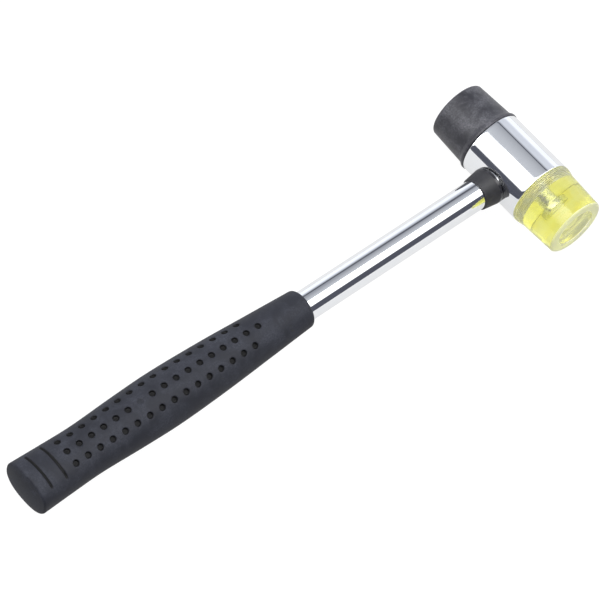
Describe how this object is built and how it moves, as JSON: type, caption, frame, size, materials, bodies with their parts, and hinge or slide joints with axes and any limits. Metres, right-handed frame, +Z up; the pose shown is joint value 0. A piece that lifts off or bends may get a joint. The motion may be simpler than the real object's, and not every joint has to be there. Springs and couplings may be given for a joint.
{
  "type": "double-faced soft mallet",
  "caption": "Soft mallet with a chromed barrel head, a screw-on black rubber face, a screw-on clear yellow face, a tube handle and a dimpled rubber grip.",
  "frame": {"origin": "on the ground under the middle of the whole mallet, which lies on its side on its two faces", "axes": "+X along the handle towards the head, +Y along the head towards the black rubber face, +Z up"},
  "size_m": [0.2642, 0.0702, 0.0291],
  "materials": {
    "chrome_plate": "bright chrome plate on a solid steel barrel",
    "chrome_tube": "bright chrome plate on drawn steel tube",
    "collar_black": "satin black moulded collar",
    "grip_rubber": "matt charcoal rubber, lightly scuffed",
    "face_rubber": "matt black rubber with pale scuffs",
    "face_clear": "clear yellow polyurethane",
    "stud_steel": "zinc-plated steel screw",
    "washer_steel": "bright zinc-plated steel washer"
  },
  "bodies": {
    "mallet": {"head_barrel": "chrome_plate", "handle_tube": "chrome_tube", "neck_collar": "collar_black", "grip": "grip_rubber"},
    "rubber_washer": {"rubber_face_washer": "washer_steel"},
    "rubber_tip": {"rubber_face": "face_rubber", "rubber_face_stud": "stud_steel"},
    "clear_washer": {"clear_face_washer": "washer_steel"},
    "clear_tip": {"clear_face": "face_clear", "clear_face_stud": "stud_steel"}
  },
  "joints": [
    {"name": "rubber_face_travel", "type": "slide", "parent": "mallet", "child": "rubber_washer", "axis": [0, 1, 0], "range_m": [0, 0.008]},
    {"name": "rubber_face_turn", "type": "hinge", "parent": "rubber_washer", "child": "rubber_tip", "pos_m": [0.11753, 0, 0.01455], "axis": [0, 1, 0], "range_deg": [0, 3600]},
    {"name": "clear_face_travel", "type": "slide", "parent": "mallet", "child": "clear_washer", "axis": [0, -1, 0], "range_m": [0, 0.008]},
    {"name": "clear_face_turn", "type": "hinge", "parent": "clear_washer", "child": "clear_tip", "pos_m": [0.11753, 0, 0.01455], "axis": [0, -1, 0], "range_deg": [0, 3600]}
  ],
  "couplings": [
    {"joint": "rubber_face_travel", "follows": "rubber_face_turn", "m_per_rad": 0.00012732},
    {"joint": "clear_face_travel", "follows": "clear_face_turn", "m_per_rad": 0.00012732}
  ]
}
